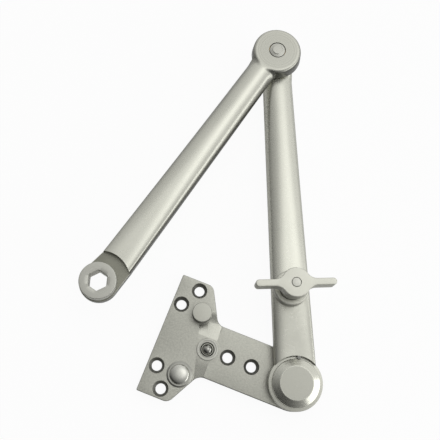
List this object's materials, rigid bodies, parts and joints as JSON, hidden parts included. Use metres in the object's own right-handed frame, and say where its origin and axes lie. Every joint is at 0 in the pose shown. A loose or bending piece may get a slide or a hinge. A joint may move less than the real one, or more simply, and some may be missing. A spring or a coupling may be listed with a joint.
{
  "type": "hold-open closer arm",
  "caption": "Heavy parallel arm linkage of a door closer: T-shaped soffit shoe with ball catch and stops, tapered forearm with thumb-turn hold-open, main arm with a hexagonal spindle socket.",
  "frame": {"origin": "on the swivel axis, at the shoe's mounting face", "axes": "+X from the swivel along the shoe's tongue to its flange, +Z out of the mounting face through the shoe towards the thumb-turn, +Y completes a right-handed frame"},
  "size_m": [0.2154, 0.3398, 0.054],
  "materials": {
    "satin_silver": "satin sprayed silver",
    "machined_steel": "turned and brushed",
    "polished_steel": "polished",
    "spring_steel": "oiled spring wire",
    "bronze": "sintered bronze"
  },
  "bodies": {
    "shoe": {"soffit_shoe": "satin_silver", "stop_stud": "satin_silver", "dome_plug": "polished_steel", "dome_plug_washer": "machined_steel", "catch_housing": "machined_steel", "catch_spring": "spring_steel", "catch_plug": "machined_steel", "swivel_stud": "machined_steel", "swivel_thrust_washer": "machined_steel", "swivel_top_washer": "machined_steel", "swivel_ring": "spring_steel"},
    "catch": {"catch_bullet": "polished_steel"},
    "forearm": {"forearm": "satin_silver", "swivel_bush": "bronze", "swivel_cap": "satin_silver", "cap_lock_pin": "machined_steel", "plunger_housing": "satin_silver", "plunger_spring": "spring_steel", "elbow_pin": "machined_steel", "elbow_lower_washer": "machined_steel", "elbow_nut": "machined_steel", "elbow_thrust_washer": "machined_steel"},
    "plunger": {"plunger_stem": "machined_steel", "plunger_tip": "machined_steel"},
    "thumb_turn": {"thumb_turn": "satin_silver"},
    "main_arm": {"main_arm": "satin_silver", "spindle_hub": "machined_steel", "elbow_bush": "bronze"}
  },
  "joints": [
    {"name": "swivel", "type": "hinge", "parent": "shoe", "child": "forearm", "pos_m": [0, 0, 0], "axis": [0, 0, 1], "range_deg": [-293.2, 36]},
    {"name": "elbow", "type": "hinge", "parent": "forearm", "child": "main_arm", "pos_m": [0.11424, -0.26655, 0.0227], "axis": [0, 0, 1], "range_deg": [-313, 27]},
    {"name": "plunger_drop", "type": "slide", "parent": "forearm", "child": "plunger", "axis": [0, 0, 1], "range_m": [-0.00221, 0], "deforming": ["plunger_spring"]},
    {"name": "thumb_turn_spin", "type": "hinge", "parent": "plunger", "child": "thumb_turn", "pos_m": [0.02994, -0.06985, 0.054], "axis": [0, 0, 1], "range_deg": [0, 90]},
    {"name": "catch_press", "type": "slide", "parent": "shoe", "child": "catch", "axis": [0, 0, -1], "range_m": [0, 0.0024], "stiffness_N_per_m": 5000, "springref_m": -0.0015, "deforming": ["catch_spring"]}
  ],
  "couplings": [
    {"joint": "plunger_drop", "follows": "thumb_turn_spin", "m_per_rad": -0.0014006}
  ]
}
